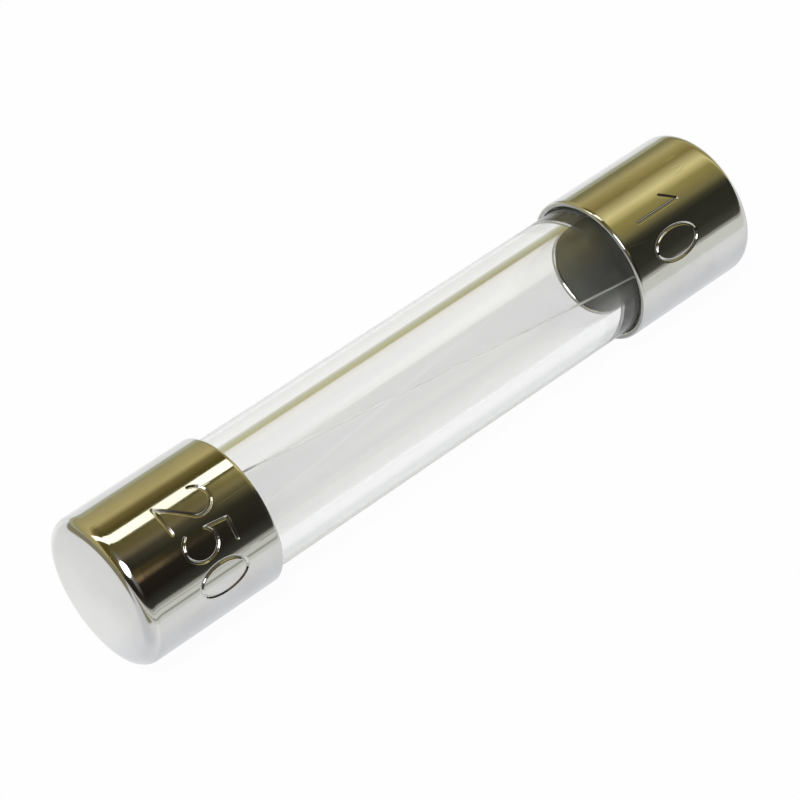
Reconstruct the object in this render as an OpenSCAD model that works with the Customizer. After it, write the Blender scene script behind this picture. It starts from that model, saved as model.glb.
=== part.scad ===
// Glass cartridge fuse: two drawn metal caps soldered on a glass tube, with the fuse wire through its bore.
// Millimetres. +X runs along the fuse from the left cap to the right cap, +Z is up, origin at the middle.

/* [Fuse] */
// Overall length over both caps
fuse_length = 31.75; // [26:0.25:38]

/* [End caps] */
// Outer diameter of a cap
cap_diameter = 6.35; // [6:0.05:8]
// Length of a cap from its end face to its lip
cap_length = 6.35; // [4.5:0.05:8]
// Thickness of the drawn metal
cap_wall = 0.25; // [0.18:0.01:0.35]
// Outer radius where the end face turns into the side
cap_corner = 0.55; // [0.37:0.01:0.8]
// Radius on both edges of the lip
lip_edge = 0.06; // [0.02:0.01:0.08]

/* [Glass tube] */
// Radial room between the tube and the inside of a cap
glass_clearance = 0.065; // [0.03:0.005:0.15]
// Wall of the tube
glass_wall = 0.91; // [0.5:0.01:1.2]
// Radius that fire polishing leaves on the tube's edges
glass_edge = 0.18; // [0.1:0.01:0.22]

/* [Solder] */
// Thickness of the solder between a cap's end and the tube
solder_bed = 0.6; // [0.45:0.05:1.2]
// How far the solder bulges into the bore
solder_bulge = 0.45; // [0.2:0.05:0.9]
// Room between the bulge and the bore
bulge_clearance = 0.1; // [0.05:0.01:0.3]

/* [Fuse wire] */
// Diameter of the wire
wire_diameter = 0.1; // [0.06:0.01:0.3]
// Distance from the glass to the middle of the wire where it is hooked over an end
wire_seat = 0.3; // [0.2:0.01:0.4]
// Turn of each hook past square to the fuse
wire_hook = 40; // [0:5:45]
// Turn of the wire's plane about the fuse, from upright
wire_turn = -55; // [-180:5:180]

/* [Hidden] */
$fn = 96;
cap_radius = cap_diameter / 2;
cap_bore = cap_radius - cap_wall;
fuse_half = fuse_length / 2;
glass_radius = cap_bore - glass_clearance;
glass_bore = glass_radius - glass_wall;
glass_half = fuse_half - cap_wall - solder_bed;
lip_depth = 4 * lip_edge;
wire_radius = wire_diameter / 2;
// A hook wraps the polished edge of the bore, concentric with it.
hook_radius = glass_edge + wire_seat;
hook_x = glass_half - glass_edge;
hook_z = glass_bore + glass_edge;
hook_reach = norm([hook_x, hook_z]);
wire_slope = atan2(hook_z, hook_x) - asin(hook_radius / hook_reach);
straight_half = sqrt(hook_reach * hook_reach - hook_radius * hook_radius);

// Spins a section drawn as [radius, place along the fuse] about the fuse's axis.
module turned() {
    rotate([0, 90, 0])
        rotate_extrude()
            children();
}

// Turns what stands at one end half round, which gives the other end.
module half_turn() {
    rotate([0, 180, 0])
        children();
}

module rounded_rectangle(size, edge) {
    translate([edge, 0])
        square([size.x - 2 * edge, size.y]);
    translate([0, edge])
        square([size.x, size.y - 2 * edge]);
    for (x = [edge, size.x - edge], y = [edge, size.y - edge])
        translate([x, y])
            circle(edge);
}

// A filled cup's section from the axis out: flat at both ends, with a round corner at the lower one.
module cup_section(radius, height, corner) {
    translate([0, corner])
        square([radius, height - corner]);
    square([radius - corner, height]);
    translate([radius - corner, corner])
        intersection() {
            circle(corner);
            translate([0, -corner])
                square([corner, 2 * corner]);
        }
}

// The drawn cup at the left end: one wall all over, round at its corner inside and out, with a round lip.
module end_cap() {
    turned()
        translate([0, -fuse_half]) {
            difference() {
                cup_section(cap_radius, cap_length - lip_edge, cap_corner);
                translate([0, cap_wall])
                    cup_section(cap_bore, cap_length, cap_corner - cap_wall);
            }
            translate([cap_bore, cap_length - lip_depth])
                rounded_rectangle([cap_wall, lip_depth], lip_edge);
        }
}

module left_end_cap() {
    color([0.80, 0.79, 0.75])
        end_cap();
}

module right_end_cap() {
    color([0.80, 0.79, 0.75])
        half_turn()
            end_cap();
}

module glass_tube() {
    color([0.86, 0.90, 0.91, 0.35])
        turned()
            translate([glass_bore, -glass_half])
                rounded_rectangle([glass_wall, 2 * glass_half], glass_edge);
}

// Half of the wire, its straight run on the Z axis from the middle down, then the hook at its end.
module half_wire() {
    translate([0, 0, -straight_half]) {
        cylinder(h = straight_half, r = wire_radius);
        translate([-hook_radius, 0, 0])
            rotate([-90, 0, 0])
                rotate_extrude(angle = 90 - wire_slope + wire_hook)
                    translate([hook_radius, 0])
                        circle(wire_radius);
    }
}

// The whole wire, laid on the slant from the top of the bore at the left end to its bottom at the right.
module wire() {
    rotate([wire_turn, 0, 0])
        rotate([0, 90 + wire_slope, 0]) {
            half_wire();
            half_turn()
                half_wire();
        }
}

module fuse_wire() {
    color([0.72, 0.66, 0.58])
        wire();
}

// The solder that fills the left cap's end and bulges into the bore.
module solder_pool() {
    bulge_base = glass_bore - bulge_clearance;
    bulge_sphere = (bulge_base * bulge_base + solder_bulge * solder_bulge) / (2 * solder_bulge);
    turned() {
        translate([0, -fuse_half + cap_wall])
            cup_section(cap_bore, solder_bed, cap_corner - cap_wall);
        intersection() {
            translate([0, -glass_half + solder_bulge - bulge_sphere])
                circle(bulge_sphere);
            translate([0, -glass_half])
                square([bulge_base, solder_bulge]);
        }
    }
}

module left_solder() {
    color([0.66, 0.66, 0.67])
        difference() {
            solder_pool();
            wire();
        }
}

module right_solder() {
    color([0.66, 0.66, 0.67])
        difference() {
            half_turn()
                solder_pool();
            wire();
        }
}

left_end_cap();
right_end_cap();
glass_tube();
fuse_wire();
left_solder();
right_solder();
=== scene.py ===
import math

import bmesh
import bpy
from mathutils import Matrix, Vector


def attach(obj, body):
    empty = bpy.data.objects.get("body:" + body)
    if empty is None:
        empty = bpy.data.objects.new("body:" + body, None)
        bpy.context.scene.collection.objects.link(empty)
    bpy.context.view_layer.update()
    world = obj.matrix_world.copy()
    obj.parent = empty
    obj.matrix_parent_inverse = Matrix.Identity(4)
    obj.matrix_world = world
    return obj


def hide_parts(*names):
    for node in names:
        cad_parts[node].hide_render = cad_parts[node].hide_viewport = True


# Cartridge fuse: two bright plated caps, a glass tube, its wire and solder.
# Sizes are in millimetres, and multiplied by mm where they are used, unless a note says metres.

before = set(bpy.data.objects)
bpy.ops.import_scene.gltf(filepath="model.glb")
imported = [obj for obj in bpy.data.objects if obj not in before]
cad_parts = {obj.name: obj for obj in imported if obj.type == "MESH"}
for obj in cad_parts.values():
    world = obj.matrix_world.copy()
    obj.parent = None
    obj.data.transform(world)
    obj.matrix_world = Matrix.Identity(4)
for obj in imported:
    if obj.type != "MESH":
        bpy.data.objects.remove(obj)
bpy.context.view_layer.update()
mm = 0.001
print("frame loaded:", sorted(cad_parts))

camera = {
    "place": (-58.084, -62.998, 91.101),
    "aim": (-0.702, 0.120, -0.358),
    "lens": 143.57,
    "sensor": 36.0,
    "shift": (0.0, 0.0),
    "picture": (800, 800),
    # nearest and furthest that it sees, in metres
    "clip": (0.005, 20.0),
}

# Places in the photo, in its pixels.
imagePoints = {
    "objectLeft": (50.8, None),
    "objectRight": (749.0, None),
    "objectTop": (None, 135.2),
    "objectBottom": (None, 665.5),
    "leftEndFar": (74.6, 608.6),
    "leftLipTop": (182.9, 441.2),
    "leftLipBottom": (273.5, 582.6),
    "leftLipNear": (260.2, 490.8),
    "rightLipTop": (550.5, 202.9),
    "rightLipBottom": (636.3, 336.9),
    "rightLipNear": (626.0, 252.8),
    "rightEndFar": (729.9, 182.7),
    "tubeTopMiddle": (358.3, 334.9),
    "tubeBottomMiddle": (437.6, 458.6),
}
# the fuse's own ways in the picture: towards the right cap, and square to that, downwards
alongPicture = Vector((0.8419, -0.5396))
acrossPicture = Vector((0.5396, 0.8419))


def makeCamera():
    data = bpy.data.cameras.new("camera")
    data.sensor_fit = "AUTO"
    data.sensor_width = camera["sensor"]
    data.lens = camera["lens"]
    data.shift_x, data.shift_y = camera["shift"]
    data.clip_start, data.clip_end = camera["clip"]
    rig = bpy.data.objects.new("camera", data)
    bpy.context.scene.collection.objects.link(rig)
    place = Vector(camera["place"]) * mm
    look = Vector(camera["aim"]) * mm - place
    rig.matrix_world = Matrix.Translation(place) @ look.to_track_quat("-Z", "Y").to_matrix().to_4x4()
    bpy.context.scene.camera = rig
    return rig


def inPicture(point):
    width, height = camera["picture"]
    longSide = max(width, height)
    seen = cameraRig.matrix_world.inverted() @ point
    scale = longSide * camera["lens"] / camera["sensor"] / -seen.z
    return Vector((
        width / 2 - camera["shift"][0] * longSide + seen.x * scale,
        height / 2 + camera["shift"][1] * longSide - seen.y * scale,
    ))


cameraRig = makeCamera()
print("camera placed")


class Signal:
    # a socket in a node tree, on which Python's operators add Math nodes
    def __init__(self, graph, socket):
        self.graph = graph
        self.socket = socket

    def maths(self, operation, *values):
        return self.graph.node("ShaderNodeMath", {"operation": operation}, dict(enumerate(values)))

    def absolute(self):
        return self.maths("ABSOLUTE", self)

    def __add__(self, other):
        return self.maths("ADD", self, other)

    def __radd__(self, other):
        return self.maths("ADD", other, self)

    def __sub__(self, other):
        return self.maths("SUBTRACT", self, other)

    def __rsub__(self, other):
        return self.maths("SUBTRACT", other, self)

    def __mul__(self, other):
        return self.maths("MULTIPLY", self, other)

    def __rmul__(self, other):
        return self.maths("MULTIPLY", other, self)

    def __truediv__(self, other):
        return self.maths("DIVIDE", self, other)

    def __rtruediv__(self, other):
        return self.maths("DIVIDE", other, self)


class Graph:
    # a material's or world's node tree, emptied and built up again
    def __init__(self, holder):
        holder.use_nodes = True
        self.tree = holder.node_tree
        self.tree.nodes.clear()

    def node(self, kind, settings=None, inputs=None, output=0):
        made = self.tree.nodes.new(kind)
        for name, value in (settings or {}).items():
            if name == "stops":
                self.setStops(made.color_ramp, value)
            else:
                setattr(made, name, value)
        for name, value in (inputs or {}).items():
            self.feed(made.inputs[name], value)
        return Signal(self, made.outputs[output]) if made.outputs else made

    def feed(self, socket, value):
        if isinstance(value, Signal):
            self.tree.links.new(value.socket, socket)
        else:
            socket.default_value = value

    def setStops(self, ramp, stops):
        while len(ramp.elements) < len(stops):
            ramp.elements.new(1.0)
        for element, (position, tone) in zip(ramp.elements, stops):
            element.position = position
            element.color = (*tone, 1.0)

    def parts(self, vector):
        split = self.tree.nodes.new("ShaderNodeSeparateXYZ")
        self.tree.links.new(vector.socket, split.inputs[0])
        return [Signal(self, output) for output in split.outputs]

    def rays(self):
        # what sees this point: the camera, metal, glass; and whether no diffuse surface lies between
        path = "ShaderNodeLightPath"
        byCamera = self.node(path, output="Is Camera Ray")
        byGlass = self.node(path, output="Is Transmission Ray")
        byMetal = self.node(path, output="Is Glossy Ray") * (1.0 - byGlass)
        depth = self.node(path, output="Diffuse Depth")
        return byCamera, byMetal, byGlass, 1.0 - depth.maths("MINIMUM", depth, 1.0)

    def ranged(self, value, low, high, toLow=0.0, toHigh=1.0, smooth="SMOOTHSTEP"):
        return self.node(
            "ShaderNodeMapRange",
            {"interpolation_type": smooth},
            {"Value": value, "From Min": low, "From Max": high, "To Min": toLow, "To Max": toHigh},
        )

    def evenly(self, value, span, results):
        # a straight change from the first result to the second over the span
        return self.ranged(value, *span, *results, smooth="LINEAR")

    def near(self, value, middle, half):
        # 1 at the middle, 0 from half off it
        return self.ranged((value - middle).absolute(), half, 0.0)

    def blend(self, factor, first, second):
        # a colour mix: socket 0 is the factor, 6 and 7 are the colours
        return self.node(
            "ShaderNodeMix",
            {"data_type": "RGBA", "clamp_factor": True},
            {0: factor, 6: first, 7: second},
            output=2,
        )

    def objectPlace(self):
        return self.node("ShaderNodeTexCoord", output="Object")

    def stretched(self, scale=(1.0, 1.0, 1.0), turn=(0.0, 0.0, 0.0)):
        inputs = {"Vector": self.objectPlace(), "Scale": scale, "Rotation": turn}
        return self.node("ShaderNodeMapping", {}, inputs)

    def noise(self, vector, scale, detail):
        inputs = {"Vector": vector, "Scale": scale, "Detail": detail, "Roughness": 0.5}
        return self.node("ShaderNodeTexNoise", {"noise_dimensions": "3D"}, inputs)

    def bump(self, height, strength, distance, normal=None):
        inputs = {"Height": height, "Strength": strength, "Distance": distance}
        if normal is not None:
            inputs["Normal"] = normal
        return self.node("ShaderNodeBump", {}, inputs)

    def surface(self, shader, target="ShaderNodeOutputMaterial"):
        self.node(target, {}, {"Surface": shader})

    def principled(self, inputs):
        self.surface(self.node("ShaderNodeBsdfPrincipled", {}, inputs))


def white(level=1.0):
    return (level, level, level, 1.0)


# The studio: its floor, the room round the fuse and the lamps.
floorSettings = {
    "half": 900.0,
    "level": -3.175,
    "paper": 0.86,
    # share of its own shading, with its shadows, in what the camera, the metal and the glass see
    "cameraShare": 0.035,
    "metalShare": 0.10,
    "glassShare": 0.38,
    # the white sheet's edges (from, to), and what the metal and the glass see past them
    "left": (-21.5, -23.5, (0.26, 0.23, 0.11, 1.0)),
    "back": (26.0, 52.0, (0.46, 0.47, 0.31, 1.0)),
    "front": (-11.5, -14.0, (0.82, 0.83, 0.76, 1.0)),
    "farFront": (-52.0, -140.0, (0.40, 0.40, 0.36, 1.0)),
    # darker lines in front of the left cap: place, half breadth, tone; and where they fade along it
    "lines": [
        (-19.0, 3.4, (0.24, 0.25, 0.22, 1.0)),
        (-46.0, 11.0, (0.38, 0.39, 0.36, 1.0)),
    ],
    "linesFade": (9.0, 4.0),
    # how much nearer its back edge lies for the metal, for each step along the fuse, and from where
    "backSlant": 0.3,
    "backTurnsAt": -5.0,
    # painted shade on the floor under the caps, a little darker and bluer, as far as under the axis;
    # only the metal sees it
    "nearFront": (-8.5, -3.6, (0.84, 0.85, 0.89, 1.0)),
    "nearFrontUntil": (1.0, -1.5),
    # painted light on the floor past the left end face, seen only by the metal: its brightness from,
    # to, and at each; and where that begins
    "nearEnd": (-18.8, -16.1, 0.955, 1.13),
    "pastEnd": (-15.0, -15.9),
}

surroundings = {
    # angles are about the fuse's axis, 0 at the viewer's side and 90 straight up; tones start here
    "start": -90.0,
    # the room's tones by that angle, towards the left end and towards the right one
    "left": [
        (-12.0, (0.95, 0.95, 0.93)),
        (-1.0, (0.70, 0.70, 0.64)),
        (3.0, (0.05, 0.05, 0.04)),
        (22.0, (0.017, 0.012, 0.009)),
        (40.0, (0.022, 0.017, 0.011)),
        (62.0, (0.029, 0.028, 0.018)),
        (74.0, (0.06, 0.05, 0.035)),
        (82.0, (0.20, 0.165, 0.090)),
        (92.0, (0.15, 0.12, 0.045)),
        (104.0, (0.12, 0.10, 0.030)),
        (124.0, (0.10, 0.078, 0.015)),
        (137.0, (0.22, 0.170, 0.055)),
        (146.0, (0.62, 0.520, 0.220)),
        (158.0, (0.54, 0.455, 0.195)),
        (176.0, (0.42, 0.375, 0.180)),
        (186.0, (0.50, 0.460, 0.285)),
        (194.0, (0.90, 0.880, 0.76)),
    ],
    "right": [
        (-12.0, (0.92, 0.92, 0.86)),
        (-1.0, (0.55, 0.55, 0.48)),
        (3.0, (0.08, 0.08, 0.065)),
        (20.0, (0.040, 0.040, 0.030)),
        (50.0, (0.034, 0.033, 0.022)),
        (58.0, (0.07, 0.065, 0.035)),
        (68.0, (0.24, 0.21, 0.085)),
        (78.0, (0.32, 0.265, 0.090)),
        (90.0, (0.39, 0.33, 0.105)),
        (98.0, (0.70, 0.60, 0.24)),
        (106.0, (0.95, 0.83, 0.385)),
        (114.0, (0.70, 0.60, 0.27)),
        (129.0, (0.30, 0.24, 0.075)),
        (142.0, (0.43, 0.35, 0.120)),
        (154.0, (0.55, 0.472, 0.200)),
        (160.0, (0.49, 0.423, 0.185)),
        (166.0, (0.375, 0.325, 0.145)),
        (173.0, (0.285, 0.250, 0.115)),
        (180.0, (0.30, 0.265, 0.125)),
        (192.0, (0.56, 0.51, 0.35)),
    ],
    # where along the fuse the left tones give way to the right ones, and how much later above the lamp
    "change": {"span": (0.375, 0.45), "laterPast": (98.0, 106.0), "later": 0.07},
    # what stands out of the left tones: angle, half of its height, span along the fuse, softness, tone
    "things": [
        (54.0, 8.5, (-0.30, 0.385), 0.02, (0.095, 0.070, 0.022, 1.0)),
        (46.0, 7.2, (-0.30, 0.385), 0.02, (0.29, 0.205, 0.100, 1.0)),
        (62.0, 48.0, (-0.62, -0.28), 0.14, (0.30, 0.28, 0.28, 1.0)),
    ],
    # the far wall as the glass bends it into view: angle, half of its height, tone
    "glassWall": (182.0, 20.0, (0.46, 0.48, 0.33, 1.0)),
    # on what is lit softly: the floor, and what is inside the glass
    "soft": (0.45, 0.45, 0.45, 1.0),
    "softInGlass": (0.85, 0.85, 0.84, 1.0),
}

lamps = {
    # a metre off the axis: each end is its place along the fuse in metres and its angle about it
    "lampStrip": {
        "ends": ((-0.26, 112.8), (0.50, 111.2)), "breadth": 0.25,
        "tone": (1.0, 0.985, 0.76), "glow": 1.9, "seenBy": "caps",
    },
    "lampReturn": {
        "ends": ((-0.24, 112.8), (-0.95, 147.0)), "breadth": 0.20,
        "tone": (1.0, 0.985, 0.80), "glow": 1.9, "seenBy": "caps",
    },
    "window": {
        "ends": ((-1.7, 68.0), (-0.28, 68.0)), "breadth": 0.52, "shape": "ELLIPSE",
        "tone": (1.0, 1.0, 0.98), "glow": 4.0, "seenBy": "caps",
    },
    "windowThroughGlass": {
        "ends": ((-1.7, 68.0), (-0.28, 68.0)), "breadth": 0.85, "shape": "ELLIPSE",
        "tone": (1.0, 1.0, 0.98), "glow": 10.0, "seenBy": "glass",
    },
    "keyLamp": {
        "ends": ((-0.46, 74.0), (-0.26, 74.0)), "breadth": 0.09,
        "tone": (1.0, 0.995, 0.985), "power": 5.7, "seenBy": "nothing",
    },
}


def makeFloor():
    mesh = bmesh.new()
    bmesh.ops.create_grid(mesh, x_segments=2, y_segments=2, size=floorSettings["half"] * mm)
    bmesh.ops.translate(mesh, verts=mesh.verts, vec=(0, 0, floorSettings["level"] * mm))
    floor = newObject("floor", mesh, smooth=False)
    material = bpy.data.materials.new("paleFloor")
    graph = Graph(material)
    along, depth = (part / mm for part in graph.parts(graph.objectPlace())[:2])
    byCamera, byMetal, byGlass, _ = graph.rays()
    tone = white()
    pastTurn = along - floorSettings["backTurnsAt"]
    slanted = depth + pastTurn * byMetal * floorSettings["backSlant"]
    for side, value in (("left", along), ("back", slanted), ("front", depth), ("farFront", depth)):
        start, end, past = floorSettings[side]
        tone = graph.blend(graph.ranged(value, start, end), tone, past)
    lined = graph.ranged(along, *floorSettings["linesFade"])
    for middle, half, lineTone in floorSettings["lines"]:
        tone = graph.blend(graph.near(depth, middle, half) * lined, tone, lineTone)
    # painted shade under the caps, seen only by the metal
    start, end, past = floorSettings["nearFront"]
    under = graph.ranged(depth, start, end) * graph.ranged(depth, *floorSettings["nearFrontUntil"])
    tone = graph.blend(under * byMetal, tone, past)
    # painted light past the left end face, seen only by the metal
    pastEnd = graph.ranged(along, *floorSettings["pastEnd"]) * byMetal
    strength = graph.ranged(along, *floorSettings["nearEnd"]) * pastEnd + (1.0 - pastEnd)
    seenTone = graph.blend(byCamera, tone, white())
    share = byCamera * floorSettings["cameraShare"] + byGlass * floorSettings["glassShare"]
    share = share + byMetal * floorSettings["metalShare"]
    glow = (byCamera + byGlass + byMetal) - share
    paper = graph.node("ShaderNodeBsdfDiffuse", {}, {"Color": white(floorSettings["paper"])})
    light = graph.node("ShaderNodeEmission", {}, {"Color": seenTone, "Strength": strength})
    graph.surface(graph.node("ShaderNodeMixShader", {}, {0: glow, 1: paper, 2: light}))
    material.cycles.emission_sampling = "NONE"
    floor.data.materials.append(material)


def makeWorld():
    world = bpy.data.worlds.new("studio")
    bpy.context.scene.world = world
    graph = Graph(world)
    along, depth, height = graph.parts(graph.node("ShaderNodeTexCoord", output="Generated"))
    angle = height.maths("ARCTAN2", height, depth * -1.0) * (180.0 / math.pi)
    start = surroundings["start"]
    turn = angle.maths("FLOORED_MODULO", angle - start, 360.0) / 360.0
    rooms = []
    for side in ("left", "right"):
        stops = [((place - start) / 360.0, tone) for place, tone in surroundings[side]]
        rooms.append(graph.node("ShaderNodeValToRGB", {"stops": stops}, {0: turn}))
    change = surroundings["change"]
    later = graph.ranged(angle, *change["laterPast"]) * change["later"]
    room = graph.blend(graph.ranged(along - later, *change["span"]), *rooms)
    for middle, half, (first, last), soft, tone in surroundings["things"]:
        within = graph.near(angle, middle, half) * graph.ranged(along, first - soft, first)
        room = graph.blend(within * graph.ranged(along, last, last - soft), room, tone)
    byCamera, byMetal, byGlass, direct = graph.rays()
    middle, half, tone = surroundings["glassWall"]
    room = graph.blend(graph.near(angle, middle, half) * byGlass, room, tone)
    soft = graph.blend(byGlass, surroundings["soft"], surroundings["softInGlass"])
    tone = graph.blend((byMetal + byGlass) * direct, soft, room)
    tone = graph.blend(byCamera, tone, white())
    background = graph.node("ShaderNodeBackground", {}, {"Color": tone, "Strength": 1.0})
    graph.surface(background, "ShaderNodeOutputWorld")


def makeLamp(name, lamp, pieces):
    def endPoint(along, angle):
        turned = math.radians(angle)
        return Vector((along, -math.cos(turned), math.sin(turned)))

    first, last = (endPoint(*end) for end in lamp["ends"])
    data = bpy.data.lights.new(name, "AREA")
    data.shape = lamp.get("shape", "RECTANGLE")
    data.size = (last - first).length
    data.size_y = lamp["breadth"]
    data.color = lamp["tone"]
    # a glow is the wanted brightness of its face
    face = data.size * data.size_y * (math.pi / 4 if data.shape == "ELLIPSE" else 1.0)
    data.energy = lamp.get("power") or lamp["glow"] * math.pi * face
    rig = bpy.data.objects.new(name, data)
    bpy.context.scene.collection.objects.link(rig)
    place = (first + last) / 2
    alongLamp = (last - first).normalized()
    outward = (place - alongLamp * place.dot(alongLamp)).normalized()
    turned = Matrix((alongLamp, outward.cross(alongLamp), outward)).transposed()
    rig.matrix_world = Matrix.Translation(place) @ turned.to_4x4()
    rig.visible_camera = False
    # its image shows in the caps, through the glass, or in nothing
    rig.visible_glossy = lamp["seenBy"] == "caps"
    rig.visible_transmission = lamp["seenBy"] == "glass"
    if lamp["seenBy"] in pieces:
        rig.light_linking.receiver_collection = pieces[lamp["seenBy"]]


def newObject(name, mesh, smooth=True):
    data = bpy.data.meshes.new(name)
    for face in mesh.faces:
        face.smooth = smooth
    mesh.to_mesh(data)
    mesh.free()
    made = bpy.data.objects.new(name, data)
    bpy.context.scene.collection.objects.link(made)
    return made


# how close two corners, or a corner and a wanted place, count as the same
sameCorner = 0.0005
samePlace = 0.004


def spunMesh(section, steps):
    # section: (place along the fuse, distance from its axis, cuts in the edge that follows)
    mesh = bmesh.new()
    chain = [mesh.verts.new((section[0][0] * mm, 0, section[0][1] * mm))]
    for (along, out, cuts), (nextAlong, nextOut, _) in zip(section, section[1:]):
        start, end = Vector((along, 0, out)) * mm, Vector((nextAlong, 0, nextOut)) * mm
        for i in range(1, cuts + 2):
            chain.append(mesh.verts.new(start.lerp(end, i / (cuts + 1))))
            mesh.edges.new(chain[-2:])
    bmesh.ops.spin(
        mesh, geom=mesh.verts[:] + mesh.edges[:], cent=(0, 0, 0), axis=(1, 0, 0),
        angle=math.tau, steps=steps, use_merge=True, use_duplicate=False,
    )
    bmesh.ops.remove_doubles(mesh, verts=mesh.verts, dist=sameCorner * mm)
    bmesh.ops.recalc_face_normals(mesh, faces=mesh.faces)
    return mesh


def ringEdges(mesh, along, out):
    # edges of the circle at this place along the fuse and this distance from its axis
    def onRing(place):
        off = max(abs(place.x - along * mm), abs(math.hypot(place.y, place.z) - out * mm))
        return off < samePlace * mm

    return [edge for edge in mesh.edges if all(onRing(vert.co) for vert in edge.verts)]


def roundRing(mesh, along, out, radius, segments):
    bmesh.ops.bevel(
        mesh, geom=ringEdges(mesh, along, out), offset=radius * mm, offset_type="OFFSET",
        segments=segments, profile=0.5, affect="EDGES", material=-1, clamp_overlap=False,
    )


cap = {
    "radius": 3.175,
    "length": 6.35,
    "end": 15.875,
    "wall": 0.25,
    # radii at the end face's rim and on the lip's edges
    "corner": 0.55,
    "lipEdge": 0.12,
    # how far from the rim, the lip and the inside corner the even rows begin
    "rowsFromEnd": 0.7,
    "rowsFromLip": 0.18,
    "insideFromEnd": 0.4,
    # steps round the axis; cuts in the end face, side, inside and its bottom, and in each rounded edge
    "steps": 384,
    "endRows": 6,
    "rows": 72,
    "insideRows": 16,
    "bottomRows": 3,
    "cornerCuts": 10,
    "lipCuts": 6,
    "insideCuts": 4,
    # how far the end would fall back at the full radius; what is this far out or this near it moves
    "crown": 0.03,
    "crownOut": 2.76,
    "crownNear": 0.05,
    # the pressed digits: strokes, size, places along the fuse, and angles up from the viewer's side
    "strokeDepth": 0.06,
    "strokeHalf": 0.085,
    "strokeReach": 3.0,
    "digitHeight": 2.15,
    "digitWidth": 1.3,
    "digitMiddle": {-1: -12.25, 1: 11.9},
    "marks": {-1: [("2", 74.0), ("5", 45.6), ("0", 17.2)], 1: [("1", 66.0), ("0", 37.6)]},
    # where the side is cut finer for them: how far past their height, how far back, how near a stroke
    "digitMargin": 0.4,
    "digitBack": 1.5,
    "finerWithin": (0.24, 0.15),
    # how squarely a face of the lip's cut edge, the inside wall or the inside bottom looks its own way
    "cutEdgeFaces": 0.85,
    "insideFaces": 0.2,
    "bottomFaces": 0.45,
}

# Plain digits as pen strokes in a box one wide and one high.
digitStrokes = {
    "0": [("arc", 0.5, 0.5, 0.5, 0.5, 0, 360)],
    "1": [("line", (0.18, 0.74), (0.56, 1.0), (0.56, 0.0))],
    "2": [
        ("arc", 0.5, 0.70, 0.46, 0.30, 165, -32),
        ("line", (0.885, 0.545), (0.04, 0.0), (0.98, 0.0)),
    ],
    "5": [
        ("line", (0.90, 1.0), (0.20, 1.0), (0.10, 0.56)),
        ("arc", 0.46, 0.335, 0.50, 0.335, 132, -145),
    ],
}
arcStep = 12


def penPoints(digit):
    # an arc is its middle, half its width and height, and its first and last angle
    runs = []
    for kind, *values in digitStrokes[digit]:
        if kind == "line":
            runs.append([Vector(point) for point in values])
            continue
        middleX, middleY, halfWidth, halfHeight, first, last = values
        count = round(abs(last - first) / arcStep)
        angles = [math.radians(first + (last - first) * i / count) for i in range(count + 1)]
        runs.append([
            Vector((middleX + halfWidth * math.cos(angle), middleY + halfHeight * math.sin(angle)))
            for angle in angles
        ])
    return runs


def strokeSegments(side):
    # the marks read downwards, with the tops of the digits to +X
    segments = []
    for digit, angle in cap["marks"][side]:
        for run in penPoints(digit):
            laid = [
                Vector((
                    cap["digitMiddle"][side] + (point.y - 0.5) * cap["digitHeight"],
                    math.radians(angle) * cap["radius"] - (point.x - 0.5) * cap["digitWidth"],
                ))
                for point in run
            ]
            segments += list(zip(laid, laid[1:]))
    return segments


def strokeDistance(point, segments):
    nearest = cap["strokeReach"]
    for first, second in segments:
        if (point - first).length > cap["strokeReach"]:
            continue
        span = second - first
        share = min(1.0, max(0.0, (point - first).dot(span) / span.length_squared))
        nearest = min(nearest, (point - first - span * share).length)
    return nearest


def unrolled(place):
    # millimetres along the fuse, and round the cap up from the viewer's side
    return Vector((place.x / mm, math.atan2(place.z, -place.y) * cap["radius"]))


def capMesh(side):
    end, radius, length, wall = (cap[key] for key in ("end", "radius", "length", "wall"))
    inner = radius - wall
    lip = end - length
    bottom = end - wall
    section = [
        (end, 0.0, cap["endRows"]),
        (end, radius - cap["rowsFromEnd"], 0),
        (end, radius, 0),
        (end - cap["rowsFromEnd"], radius, cap["rows"]),
        (lip + cap["rowsFromLip"], radius, 0),
        (lip, radius, 0),
        (lip, inner, 0),
        (lip + cap["rowsFromLip"], inner, cap["insideRows"]),
        (bottom - cap["insideFromEnd"], inner, 0),
        (bottom, inner, 0),
        (bottom, inner - cap["insideFromEnd"], cap["bottomRows"]),
        (bottom, 0.0, 0),
    ]
    mesh = spunMesh([(side * along, out, cuts) for along, out, cuts in section], cap["steps"])
    roundRing(mesh, side * end, radius, cap["corner"], cap["cornerCuts"])
    roundRing(mesh, side * lip, radius, cap["lipEdge"], cap["lipCuts"])
    roundRing(mesh, side * lip, inner, cap["lipEdge"], cap["lipCuts"])
    roundRing(mesh, side * bottom, inner, cap["corner"] - wall, cap["insideCuts"])
    return mesh


def onSide(place):
    return math.hypot(place.y, place.z) > (cap["radius"] - 2 * samePlace) * mm


def byDigits(place, side):
    off = abs(place.x / mm - cap["digitMiddle"][side])
    within = off < cap["digitHeight"] / 2 + cap["digitMargin"]
    return within and place.y < cap["digitBack"] * mm and onSide(place)


def cutFiner(mesh, side, segments):
    for reach in cap["finerWithin"]:
        for face in mesh.faces:
            middle = face.calc_center_median()
            face.tag = byDigits(middle, side) and strokeDistance(unrolled(middle), segments) < reach
        edges = [edge for edge in mesh.edges if any(face.tag for face in edge.link_faces)]
        bmesh.ops.subdivide_edges(mesh, edges=edges, cuts=1, use_grid_fill=True)
    bmesh.ops.recalc_face_normals(mesh, faces=mesh.faces)


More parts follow.
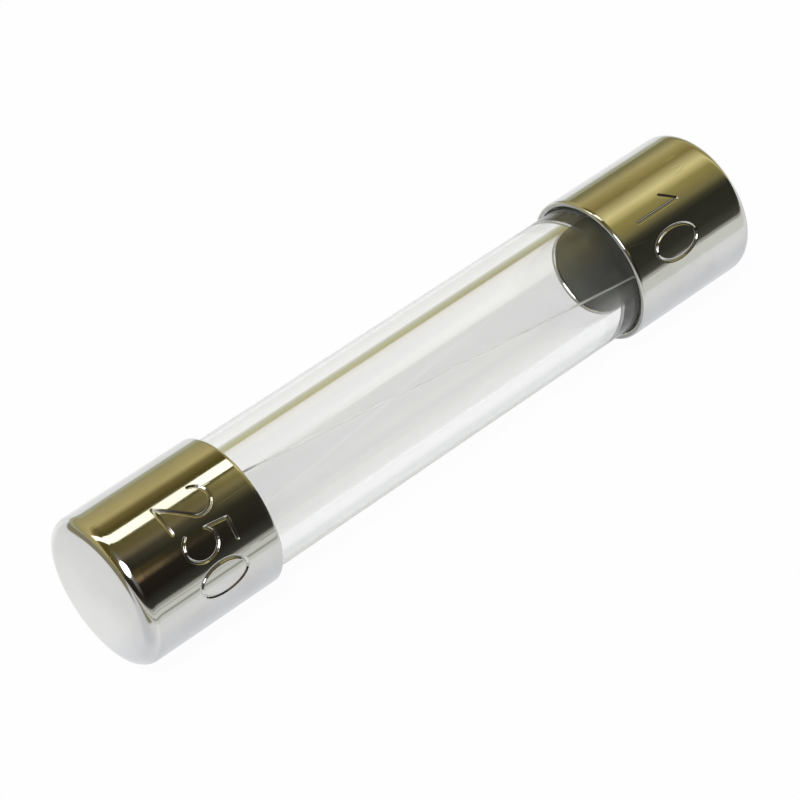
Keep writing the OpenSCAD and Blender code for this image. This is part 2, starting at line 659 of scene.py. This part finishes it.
def pressDigits(mesh, side, segments):
    # the straight side is made truly round again, and its strokes are sunk
    sideFrom = cap["end"] - cap["length"] + cap["lipEdge"]
    sideTo = cap["end"] - cap["corner"] - samePlace
    for vert in mesh.verts:
        if not (onSide(vert.co) and sideFrom < side * vert.co.x / mm < sideTo):
            continue
        depth = 0.0
        if byDigits(vert.co, side):
            gap = min(1.0, strokeDistance(unrolled(vert.co), segments) / cap["strokeHalf"])
            depth = cap["strokeDepth"] * (0.5 + 0.5 * math.cos(math.pi * gap))
        share = (cap["radius"] - depth) * mm / math.hypot(vert.co.y, vert.co.z)
        vert.co.y *= share
        vert.co.z *= share


def crownEnd(mesh, side):
    cornerFrom = cap["end"] - cap["corner"]
    for vert in mesh.verts:
        out = math.hypot(vert.co.y, vert.co.z) / mm
        along = side * vert.co.x / mm
        outermost = out > cap["crownOut"] or along > cap["end"] - cap["crownNear"]
        if along > cornerFrom and outermost:
            fall = cap["crown"] * (out / cap["radius"]) ** 2
            vert.co.x -= side * fall * (along - cornerFrom) / cap["corner"] * mm


def sortFinishes(mesh, side):
    # the lip's cut edge has the second finish, the inside the third
    lipTo = cap["end"] - cap["length"] + cap["lipEdge"]
    for face in mesh.faces:
        middle = face.calc_center_median()
        inward = -(face.normal.y * middle.y + face.normal.z * middle.z) / max(middle.yz.length, mm)
        towardsLip = -face.normal.x * side
        if side * middle.x < lipTo * mm:
            face.material_index = int(towardsLip > cap["cutEdgeFaces"])
        elif inward > cap["insideFaces"] or towardsLip > cap["bottomFaces"]:
            face.material_index = 2


def makeCap(name, side):
    mesh = capMesh(side)
    segments = strokeSegments(side)
    cutFiner(mesh, side, segments)
    pressDigits(mesh, side, segments)
    crownEnd(mesh, side)
    sortFinishes(mesh, side)
    made = newObject(name, mesh)
    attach(made, "root")
    print(name, "made:", len(made.data.polygons), "faces")
    return made


tube = {
    "radius": 2.86,
    "bore": 1.95,
    "half": 15.025,
    # radius and cuts of its fire-polished edges
    "edge": 0.18,
    "edgeCuts": 8,
    "steps": 256,
    # cuts between the even rows, which begin this far from its ends
    "rows": 44,
    "rowsFrom": 0.3,
}


def makeTube():
    half, radius, bore = tube["half"], tube["radius"], tube["bore"]
    rowsEnd = half - tube["rowsFrom"]
    section = [
        (-half, bore, 0),
        (-half, radius, 0),
        (-rowsEnd, radius, tube["rows"]),
        (rowsEnd, radius, 0),
        (half, radius, 0),
        (half, bore, 0),
        (rowsEnd, bore, tube["rows"]),
        (-rowsEnd, bore, 0),
        (-half, bore, 0),
    ]
    mesh = spunMesh(section, tube["steps"])
    for place in (-half, half):
        for out in (bore, radius):
            roundRing(mesh, place, out, tube["edge"], tube["edgeCuts"])
    bmesh.ops.recalc_face_normals(mesh, faces=mesh.faces)
    made = newObject("clearTube", mesh)
    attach(made, "root")
    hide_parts("glass_tube")
    print("tube made:", len(made.data.polygons), "faces")
    return made


# Finishes. A noise is given by its scale and detail, and a range by where it begins and ends.
nickel = {
    "light": (0.655, 0.655, 0.645, 1.0),
    "dull": (0.60, 0.595, 0.58, 1.0),
    "cloud": (420.0, 4.0),
    "clouded": (0.35, 0.75),
    # drawing lines along the cap: how stretched, their noise, their share of the roughness
    "lineStretch": (60, 900, 900),
    "lines": (60.0, 2.0),
    "lineShare": 0.3,
    "roughRange": (0.3, 0.75),
    "rough": (0.05, 0.11),
    # a long wave in the drawn metal, and a fine grain on it: noise, strength, depth in metres
    "wave": ((260.0, 1.0), 1.0, 0.000012),
    "grain": ((1500.0, 3.0), 0.04, 0.00002),
    # fine scratches from handling: turn of each set, and how long, how close, how wide and how deep
    "scratchTurns": [(0.3, 0.5, 0.35), (-0.4, 0.2, -0.5)],
    "scratchStretch": (0.12, 1.0, 1.0),
    "scratchScale": 900.0,
    "scratchHalf": 0.022,
    "scratchDepth": 0.0000024,
    # the noise that breaks them up, and where in it they show
    "broken": (650.0, 1.0),
    "scratched": (0.55, 0.72),
}


def scratchSet(graph, turn):
    cells = graph.node(
        "ShaderNodeTexVoronoi",
        {"feature": "DISTANCE_TO_EDGE"},
        {
            "Vector": graph.stretched(nickel["scratchStretch"], turn),
            "Scale": nickel["scratchScale"],
            "Randomness": 1.0,
        },
        output="Distance",
    )
    broken = graph.noise(graph.stretched(turn=turn), *nickel["broken"])
    return graph.ranged(cells, nickel["scratchHalf"], 0.0) * graph.ranged(broken, *nickel["scratched"])


def nickelPlate():
    material = bpy.data.materials.new("brightNickel")
    graph = Graph(material)
    cloud = graph.noise(graph.stretched(), *nickel["cloud"])
    lines = graph.noise(graph.stretched(nickel["lineStretch"]), *nickel["lines"])
    uneven = cloud * (1.0 - nickel["lineShare"]) + lines * nickel["lineShare"]
    normal = None
    for name in ("wave", "grain"):
        noise, strength, depth = nickel[name]
        normal = graph.bump(graph.noise(graph.stretched(), *noise), strength, depth, normal)
    first, second = (scratchSet(graph, turn) for turn in nickel["scratchTurns"])
    clouded = graph.ranged(cloud, *nickel["clouded"])
    graph.principled({
        "Base Color": graph.blend(clouded, nickel["light"], nickel["dull"]),
        "Metallic": 1.0,
        "Roughness": graph.evenly(uneven, nickel["roughRange"], nickel["rough"]),
        "Normal": graph.bump((first + second) * -1.0, 1.0, nickel["scratchDepth"], normal),
    })
    return material


dullPlate = {
    "light": (0.40, 0.405, 0.37, 1.0),
    "dull": (0.31, 0.315, 0.28, 1.0),
    "cloud": (500.0, 4.0),
    "clouded": (0.3, 0.75),
    "lipEdge": {"metal": 0.6, "rough": (0.14, 0.26)},
    "insideWall": {"metal": 0.35, "rough": (0.36, 0.52)},
}


def dullFinish(name):
    # where the plate is thin and flux has dulled it: on the lip's edge, and more so inside the cap
    values = dullPlate[name]
    material = bpy.data.materials.new(name)
    graph = Graph(material)
    cloud = graph.noise(graph.stretched(), *dullPlate["cloud"])
    clouded = graph.ranged(cloud, *dullPlate["clouded"])
    graph.principled({
        "Base Color": graph.blend(clouded, dullPlate["light"], dullPlate["dull"]),
        "Metallic": values["metal"],
        "Roughness": graph.evenly(cloud, dullPlate["clouded"], values["rough"]),
    })
    return material


glassLook = {
    "clear": (0.997, 0.999, 0.998, 1.0),
    "smudged": (0.987, 0.994, 0.992, 1.0),
    "smudge": (300.0, 4.0),
    "roughRange": (0.45, 0.8),
    "rough": (0.0, 0.015),
}


def clearGlass():
    material = bpy.data.materials.new("clearGlass")
    graph = Graph(material)
    smudge = graph.noise(graph.stretched(), *glassLook["smudge"])
    graph.principled({
        "Base Color": graph.blend(smudge, glassLook["clear"], glassLook["smudged"]),
        "Transmission Weight": 1.0,
        "IOR": 1.5,
        "Roughness": graph.evenly(smudge, glassLook["roughRange"], glassLook["rough"]),
    })
    return material


wireLook = {
    "light": (0.97, 0.965, 0.955, 1.0),
    "dark": (0.91, 0.905, 0.885, 1.0),
    # painted shade towards the caps, where the wire runs into them: its tone, and from and to this far
    # from the middle
    "dull": (0.56, 0.555, 0.53, 1.0),
    "dulled": (7.4, 8.6),
    "lineStretch": (40, 900, 900),
    "lines": (80.0, 2.0),
    "metal": 0.25,
    "roughRange": (0.2, 0.8),
    "rough": (0.35, 0.5),
}


def wireMetal():
    material = bpy.data.materials.new("tinnedWire")
    graph = Graph(material)
    lines = graph.noise(graph.stretched(wireLook["lineStretch"]), *wireLook["lines"])
    along = graph.parts(graph.objectPlace())[0] / mm
    # painted shade: the wire turns darker towards both caps
    paintedCapShade = graph.ranged(along.absolute(), *wireLook["dulled"])
    bright = graph.blend(lines, wireLook["light"], wireLook["dark"])
    graph.principled({
        "Base Color": graph.blend(paintedCapShade, bright, wireLook["dull"]),
        "Metallic": wireLook["metal"],
        "Roughness": graph.evenly(lines, wireLook["roughRange"], wireLook["rough"]),
    })
    return material


solderLook = {
    "light": (0.62, 0.62, 0.63, 1.0),
    "dark": (0.42, 0.42, 0.42, 1.0),
    "grain": (900.0, 5.0),
    "metal": 0.9,
    "roughRange": (0.2, 0.8),
    "rough": (0.3, 0.5),
    "grainStrength": 0.3,
    "grainDepth": 0.00004,
}


def solderMetal():
    material = bpy.data.materials.new("satinSolder")
    graph = Graph(material)
    grain = graph.noise(graph.stretched(), *solderLook["grain"])
    graph.principled({
        "Base Color": graph.blend(grain, solderLook["light"], solderLook["dark"]),
        "Metallic": solderLook["metal"],
        "Roughness": graph.evenly(grain, solderLook["roughRange"], solderLook["rough"]),
        "Normal": graph.bump(grain, solderLook["grainStrength"], solderLook["grainDepth"]),
    })
    return material


makeFloor()
makeWorld()
pieces = {kind: bpy.data.collections.new(kind) for kind in ("caps", "glass")}
for lampName, lampValues in lamps.items():
    makeLamp(lampName, lampValues, pieces)
print("studio ready")

leftCap = makeCap("leftCap", -1)
rightCap = makeCap("rightCap", 1)
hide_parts("left_end_cap")
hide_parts("right_end_cap")
# in the order of the faces' finishes: outside, lip's edge, inside
capFinishes = [nickelPlate(), dullFinish("lipEdge"), dullFinish("insideWall")]
for made in (leftCap, rightCap):
    for finish in capFinishes:
        made.data.materials.append(finish)
    pieces["caps"].objects.link(made)

clearTube = makeTube()
clearTube.data.materials.append(clearGlass())
pieces["glass"].objects.link(clearTube)

wire = wireMetal()
solder = solderMetal()
for node, finish in (("fuse_wire", wire), ("left_solder", solder), ("right_solder", solder)):
    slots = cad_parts[node].data.materials
    slots.clear()
    slots.append(finish)
print("materials on")

# Where what shows is looked for.
lookedFor = {
    # the lip's rim, in millimetres: from the lip, to each side of that, and at least this far out
    "rimPlace": 0.03,
    "rimHalf": 0.035,
    "rimOut": 3.1,
    # the tube's middle: to each side of the picture's, in its pixels
    "middleHalf": 8,
}


def shownPoints():
    def corners(piece):
        return [inPicture(vert.co) for vert in piece.data.vertices]

    def lipRim(piece, side):
        rim = cap["end"] - cap["length"] + lookedFor["rimPlace"]
        rimPoints = []
        for vert in piece.data.vertices:
            near = abs(side * vert.co.x - rim * mm) < lookedFor["rimHalf"] * mm
            if near and vert.co.yz.length > lookedFor["rimOut"] * mm:
                rimPoints.append(inPicture(vert.co))
        return rimPoints

    def furthest(points, way):
        return max(points, key=lambda point: point.dot(way))

    def byMiddle(point):
        away = (point - Vector(camera["picture"]) / 2).dot(alongPicture)
        return abs(away) < lookedFor["middleHalf"]

    leftAll, rightAll = corners(leftCap), corners(rightCap)
    everything = leftAll + rightAll
    across = [point for point in corners(clearTube) if byMiddle(point)]
    shown = {
        "objectLeft": furthest(everything, Vector((-1, 0))),
        "objectRight": furthest(everything, Vector((1, 0))),
        "objectTop": furthest(everything, Vector((0, -1))),
        "objectBottom": furthest(everything, Vector((0, 1))),
        "leftEndFar": furthest(leftAll, -alongPicture),
        "rightEndFar": furthest(rightAll, alongPicture),
        "tubeTopMiddle": furthest(across, -acrossPicture),
        "tubeBottomMiddle": furthest(across, acrossPicture),
    }
    for word, piece, side in (("left", leftCap, -1), ("right", rightCap, 1)):
        rimPoints = lipRim(piece, side)
        shown[word + "LipTop"] = furthest(rimPoints, -acrossPicture)
        shown[word + "LipBottom"] = furthest(rimPoints, acrossPicture)
        shown[word + "LipNear"] = furthest(rimPoints, alongPicture)
    return shown


def writePoints():
    rows = {}
    for name, at in shownPoints().items():
        wanted = imagePoints[name]
        rows[name] = [None if want is None else round(got - want, 2) for got, want in zip(at, wanted)]
    for name, row in rows.items():
        print("point", name, row)


writePoints()
bpy.context.scene.view_settings.view_transform = "Standard"
